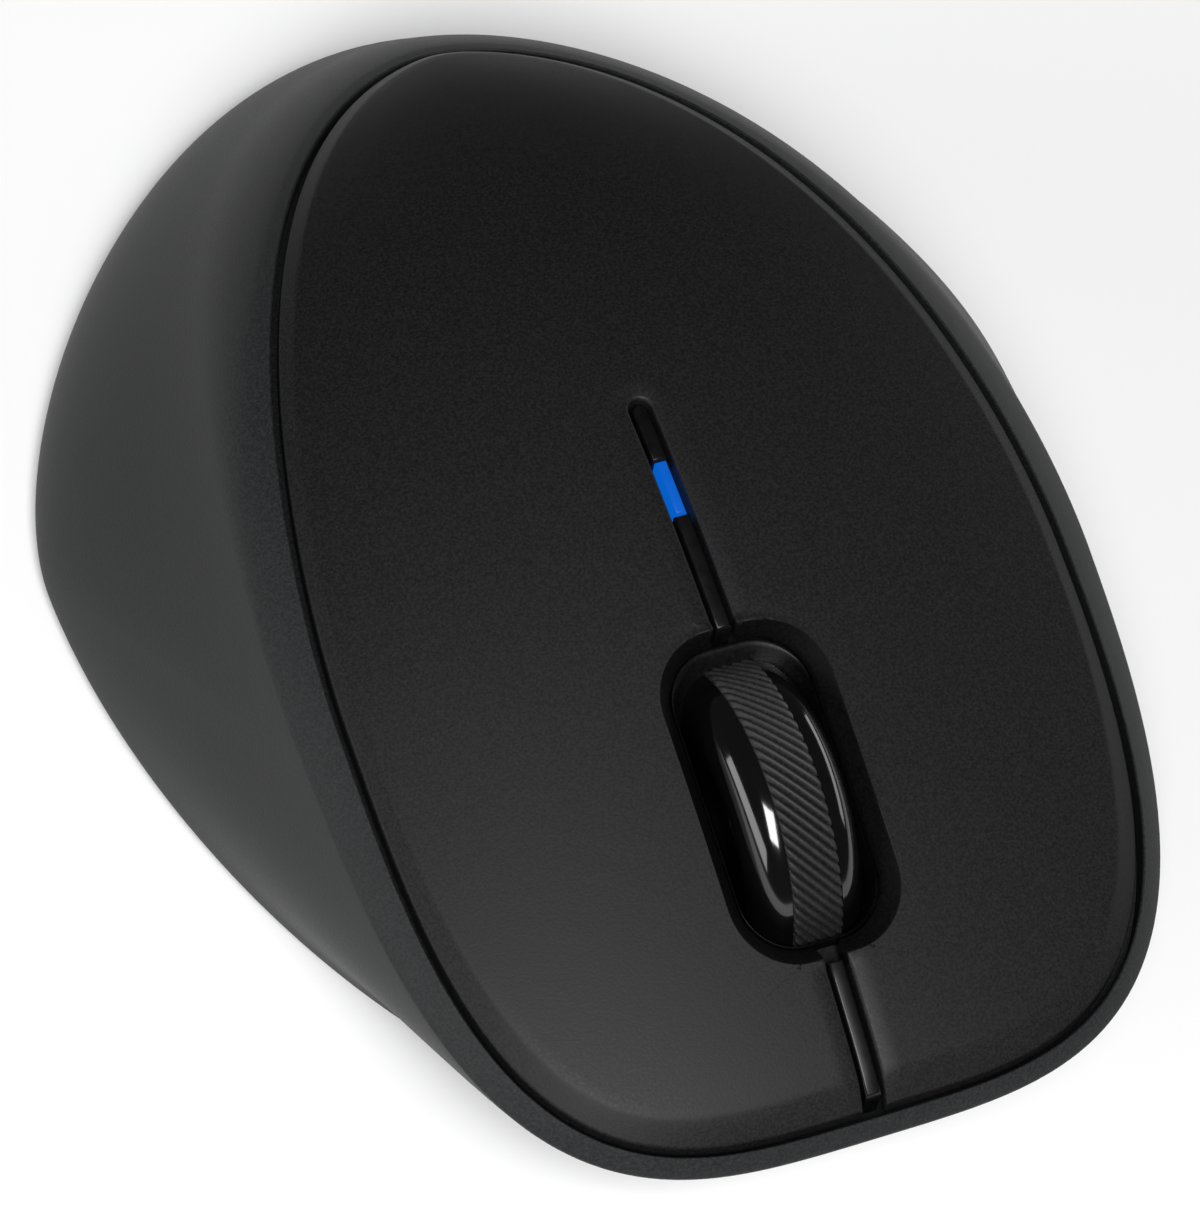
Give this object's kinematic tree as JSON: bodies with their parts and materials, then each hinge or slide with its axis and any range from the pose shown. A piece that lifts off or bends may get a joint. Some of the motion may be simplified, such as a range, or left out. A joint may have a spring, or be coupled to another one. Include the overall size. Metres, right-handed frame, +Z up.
{
  "type": "computer mouse",
  "caption": "Cordless computer mouse with a one-piece flexing top plate, ribbed scroll wheel in a stadium window, lit centre slot and a flared housing with a sliding battery door.",
  "frame": {"origin": "on the desk surface, under the middle of the mouse's outline", "axes": "+Y from the buttons towards the palm rest, +Z up, +X to the right as seen from the buttons' end looking at the palm"},
  "size_m": [0.0738, 0.1021, 0.0299],
  "materials": {
    "soft_black": "soft-touch matt paint",
    "housing_black": "fine matt moulded plastic",
    "gloss_black": "polished piano black",
    "rubber": "ribbed matt rubber",
    "blue_light": "translucent blue light guide",
    "base_black": "fine moulded texture",
    "inner_plastic": "plain moulded",
    "steel": "plain",
    "board_green": "solder mask",
    "chip_black": "moulded",
    "cell_wrap": "printed film wrap, left plain",
    "clear_lens": "clear tinted",
    "glide_grey": "smooth low-friction"
  },
  "bodies": {
    "housing": {"body_shell": "housing_black", "base_plate": "base_black", "palm_cover": "soft_black", "rear_slot_strip": "gloss_black", "front_slot_strip": "gloss_black", "light_pipe": "blue_light", "wheel_bezel": "gloss_black", "left_switch": "chip_black", "right_switch": "chip_black", "middle_switch": "chip_black", "circuit_board": "board_green", "sensor_chip": "chip_black", "sensor_window": "clear_lens", "radio_module": "steel", "led_board": "board_green", "status_led": "blue_light", "battery_tray": "inner_plastic", "battery_left": "cell_wrap", "battery_right": "cell_wrap", "contact_spring_left": "steel", "contact_spring_right": "steel", "contact_front": "steel", "contact_bridge": "steel", "case_screw_front_right": "steel", "case_screw_front_left": "steel", "case_screw_rear_right": "steel", "case_screw_rear_left": "steel", "board_screw_left": "steel", "board_screw_right": "steel", "power_switch_body": "chip_black", "connect_switch": "chip_black", "glide_front": "glide_grey", "glide_rear_left": "glide_grey", "glide_rear_right": "glide_grey"},
    "left_button": {"left_button": "soft_black"},
    "right_button": {"right_button": "soft_black"},
    "wheel_carrier": {"wheel_carrier": "inner_plastic", "scroll_encoder": "chip_black"},
    "wheel": {"wheel_hub": "gloss_black", "wheel_tyre": "rubber", "wheel_axle": "steel"},
    "left_plunger": {"left_switch_plunger": "clear_lens"},
    "right_plunger": {"right_switch_plunger": "clear_lens"},
    "middle_plunger": {"middle_switch_plunger": "clear_lens"},
    "power_slider": {"power_switch_slider": "glide_grey"},
    "connect_button": {"connect_button": "glide_grey"},
    "battery_door": {"battery_door": "base_black"}
  },
  "joints": [
    {"name": "left_button_flex", "type": "hinge", "parent": "housing", "child": "left_button", "pos_m": [0, 0.003, 0.0275], "axis": [1, 0, 0], "range_deg": [0, 0.75], "stiffness_Nm_per_rad": 2.3},
    {"name": "right_button_flex", "type": "hinge", "parent": "housing", "child": "right_button", "pos_m": [0, 0.003, 0.0275], "axis": [1, 0, 0], "range_deg": [0, 0.75], "stiffness_Nm_per_rad": 2.3},
    {"name": "wheel_press", "type": "hinge", "parent": "housing", "child": "wheel_carrier", "pos_m": [0, -0.0136, 0.011], "axis": [1, 0, 0], "range_deg": [0, 2], "stiffness_Nm_per_rad": 0.38},
    {"name": "wheel_spin", "type": "hinge", "parent": "wheel_carrier", "child": "wheel", "pos_m": [0, -0.0269, 0.0157], "axis": [1, 0, 0], "continuous": true},
    {"name": "left_plunger_travel", "type": "slide", "parent": "housing", "child": "left_plunger", "axis": [0, 0, -1], "range_m": [0, 0.0004]},
    {"name": "right_plunger_travel", "type": "slide", "parent": "housing", "child": "right_plunger", "axis": [0, 0, -1], "range_m": [0, 0.0004]},
    {"name": "middle_plunger_travel", "type": "slide", "parent": "housing", "child": "middle_plunger", "axis": [0, 0, -1], "range_m": [0, 0.0005]},
    {"name": "power_switch_slide", "type": "slide", "parent": "housing", "child": "power_slider", "axis": [0, 1, 0], "range_m": [0, 0.0034]},
    {"name": "connect_button_press", "type": "slide", "parent": "housing", "child": "connect_button", "axis": [0, 0, 1], "range_m": [0, 0.0004], "stiffness_N_per_m": 1500},
    {"name": "battery_door_slide", "type": "slide", "parent": "housing", "child": "battery_door", "axis": [0, 1, 0], "range_m": [0, 0.009]}
  ],
  "couplings": [
    {"joint": "left_plunger_travel", "follows": "left_button_flex", "m_per_rad": 0.0293},
    {"joint": "right_plunger_travel", "follows": "right_button_flex", "m_per_rad": 0.0293},
    {"joint": "middle_plunger_travel", "follows": "wheel_press", "m_per_rad": 0.0133}
  ]
}
